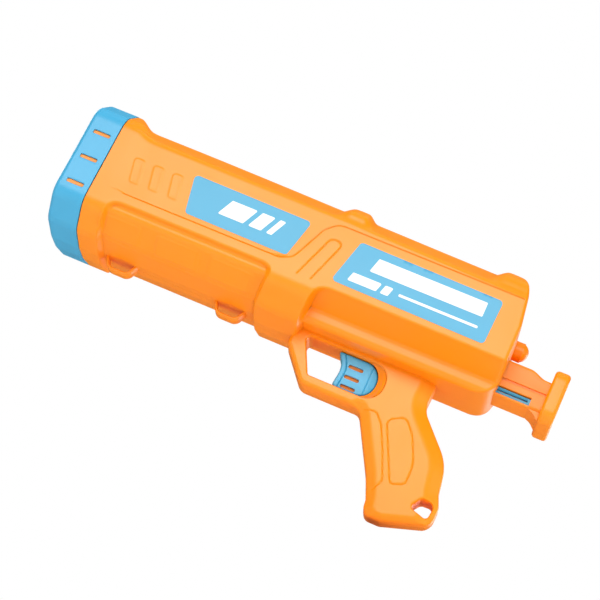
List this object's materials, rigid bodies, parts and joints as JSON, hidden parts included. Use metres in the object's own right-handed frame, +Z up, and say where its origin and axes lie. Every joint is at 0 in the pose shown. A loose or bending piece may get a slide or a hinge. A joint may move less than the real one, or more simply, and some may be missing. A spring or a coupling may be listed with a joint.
{
  "type": "dog ball launcher",
  "caption": "Hand-held spring launcher for tennis balls: wide octagonal barrel with muzzle cap, pistol grip with trigger and guard, and a T-shaped pull handle behind.",
  "frame": {"origin": "where the hand holds the grip, on the plane between the two body halves", "axes": "+X from the muzzle to the rear along the bore, +Y to the right-hand side, +Z up"},
  "size_m": [0.3955, 0.1142, 0.2094],
  "materials": {
    "orange_plastic": "satin moulded",
    "blue_plastic": "satin moulded",
    "label_film": "printed film",
    "steel": "zinc-plated",
    "grey_plastic": "moulded",
    "black_rubber": "moulded"
  },
  "bodies": {
    "housing": {"left_shell": "orange_plastic", "right_shell": "orange_plastic", "muzzle_cap": "blue_plastic", "ball_barrel": "orange_plastic", "plunger_tube": "orange_plastic", "spring_seat": "grey_plastic", "slide_bumper": "black_rubber", "sear_pin": "steel", "sear_spring": "steel", "shell_screws": "steel", "front_label": "label_film", "rear_label": "label_film", "main_spring": "steel", "trigger_spring": "steel"},
    "plunger": {"plunger_cup": "blue_plastic", "cup_pad": "black_rubber", "plunger_rod": "orange_plastic", "cocking_slide": "blue_plastic", "pull_handle": "orange_plastic", "handle_screws": "steel"},
    "trigger": {"trigger": "blue_plastic"},
    "sear": {"sear": "grey_plastic"}
  },
  "joints": [
    {"name": "plunger_slide", "type": "slide", "parent": "housing", "child": "plunger", "axis": [1, 0, 0], "range_m": [0, 0.066], "stiffness_N_per_m": 350, "springref_m": -0.02, "deforming": ["main_spring"]},
    {"name": "trigger_slide", "type": "slide", "parent": "housing", "child": "trigger", "axis": [1, 0, 0], "range_m": [0, 0.0045], "stiffness_N_per_m": 700, "springref_m": -0.002, "deforming": ["trigger_spring"]},
    {"name": "sear_hinge", "type": "hinge", "parent": "housing", "child": "sear", "pos_m": [-0.006, 0, 0.046], "axis": [0, 1, 0], "range_deg": [-23, 0]}
  ],
  "couplings": [
    {"joint": "sear_hinge", "follows": "trigger_slide", "rad_per_m": -85.3}
  ]
}
